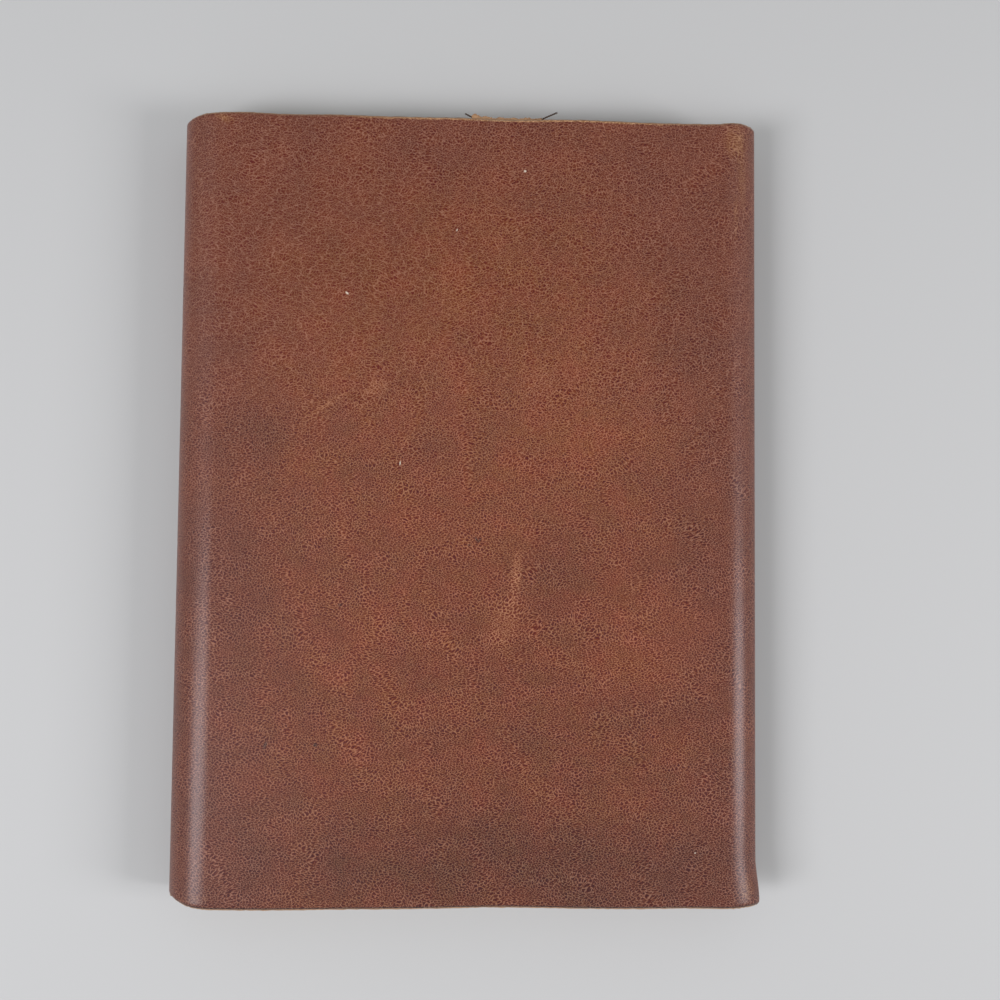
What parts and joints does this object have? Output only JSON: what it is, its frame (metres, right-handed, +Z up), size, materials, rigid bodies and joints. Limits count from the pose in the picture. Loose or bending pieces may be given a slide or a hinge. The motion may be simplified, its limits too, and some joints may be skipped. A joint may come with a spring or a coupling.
{
  "type": "leather journal",
  "caption": "Refillable A5 journal: a soft leather wrap cover with turned-in pocket flaps round a sewn card-covered notebook, opening at the spine.",
  "frame": {"origin": "middle of the back cover's outer face, on the surface that the journal lies on", "axes": "+X from the spine to the fore edge, +Y from tail to head, +Z up through the closed journal"},
  "size_m": [0.164, 0.2232, 0.0192],
  "materials": {
    "leather": "waxed pull-up",
    "card": "matte",
    "paper": "matte",
    "cloth": "woven",
    "raw_leather": "raw cut",
    "thread": "twisted"
  },
  "bodies": {
    "back_cover": {"back_cover": "leather", "back_card": "card"},
    "pages": {"text_block": "paper", "spine_cloth": "cloth"},
    "front_cover": {"front_cover": "leather", "front_card": "card", "head_tab": "raw_leather", "tab_thread_left": "thread", "tab_thread_right": "thread"}
  },
  "joints": [
    {"name": "back_cover_hinge", "type": "hinge", "parent": "back_cover", "child": "pages", "pos_m": [-0.08215, 0, 0.0096], "axis": [0, -1, 0], "range_deg": [0, 180]},
    {"name": "front_cover_hinge", "type": "hinge", "parent": "pages", "child": "front_cover", "pos_m": [-0.08215, 0, 0.0096], "axis": [0, -1, 0], "range_deg": [0, 180]}
  ]
}
